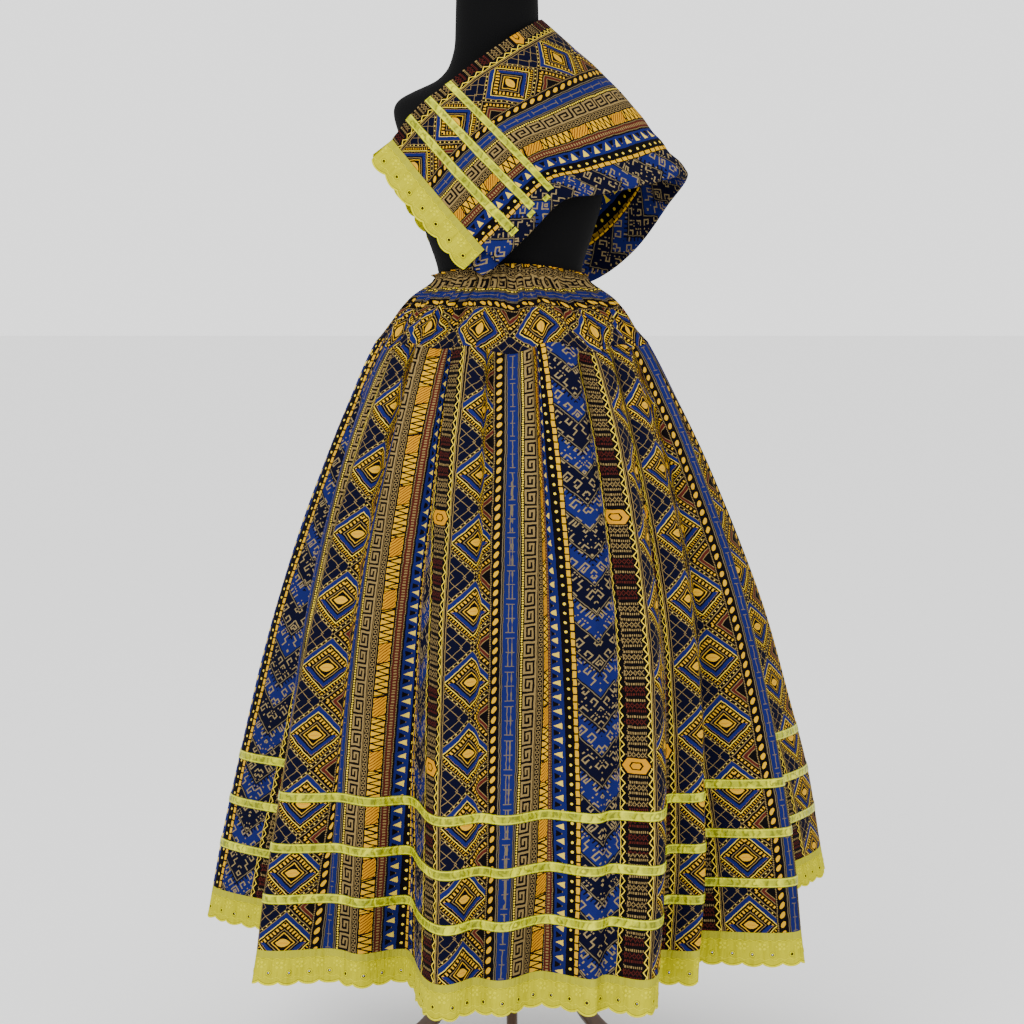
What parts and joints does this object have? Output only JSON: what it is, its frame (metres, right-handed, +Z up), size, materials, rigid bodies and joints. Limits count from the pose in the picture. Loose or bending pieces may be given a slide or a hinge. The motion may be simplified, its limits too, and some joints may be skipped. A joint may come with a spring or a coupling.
{
  "type": "candomble skirt and shoulder sash set on a limbless dress form with a tripod stand",
  "caption": "Full gathered print skirt with satin ribbons and an eyelet lace hem, and a shoulder sash with lace ends, worn by a limbless dress form on a tripod.",
  "frame": {"origin": "on the floor, under the middle of the set's outline seen from above", "axes": "+Z up, the wearer's front faces -Y, +X to the right of someone who faces the set"},
  "size_m": [1.072, 1.0775, 1.82],
  "materials": {
    "printed_cotton": "matte woven cotton, geometric print in blue, black, brown, gold and cream",
    "satin_ribbon": "satin",
    "eyelet_lace": "matte cotton with embroidered eyelets",
    "form_cover": "matte black stretch cover",
    "pole_metal": "semi-gloss",
    "leg_wood": "dark stained, satin"
  },
  "bodies": {
    "root": {"skirt_waist_casing": "printed_cotton", "skirt_yoke": "printed_cotton", "skirt_panel_front": "printed_cotton", "skirt_panel_back": "printed_cotton", "sash_cloth": "printed_cotton", "hem_ribbon_upper": "satin_ribbon", "hem_ribbon_middle": "satin_ribbon", "hem_ribbon_lower": "satin_ribbon", "sash_front_ribbon_1": "satin_ribbon", "sash_front_ribbon_2": "satin_ribbon", "sash_front_ribbon_3": "satin_ribbon", "sash_back_ribbon_1": "satin_ribbon", "sash_back_ribbon_2": "satin_ribbon", "sash_back_ribbon_3": "satin_ribbon", "hem_lace_front": "eyelet_lace", "hem_lace_back": "eyelet_lace", "sash_front_lace": "eyelet_lace", "sash_back_lace": "eyelet_lace", "form_torso": "form_cover", "stand_pole": "pole_metal", "stand_hub": "leg_wood", "stand_leg_front": "leg_wood", "stand_leg_right": "leg_wood", "stand_leg_left": "leg_wood"}
  },
  "joints": []
}
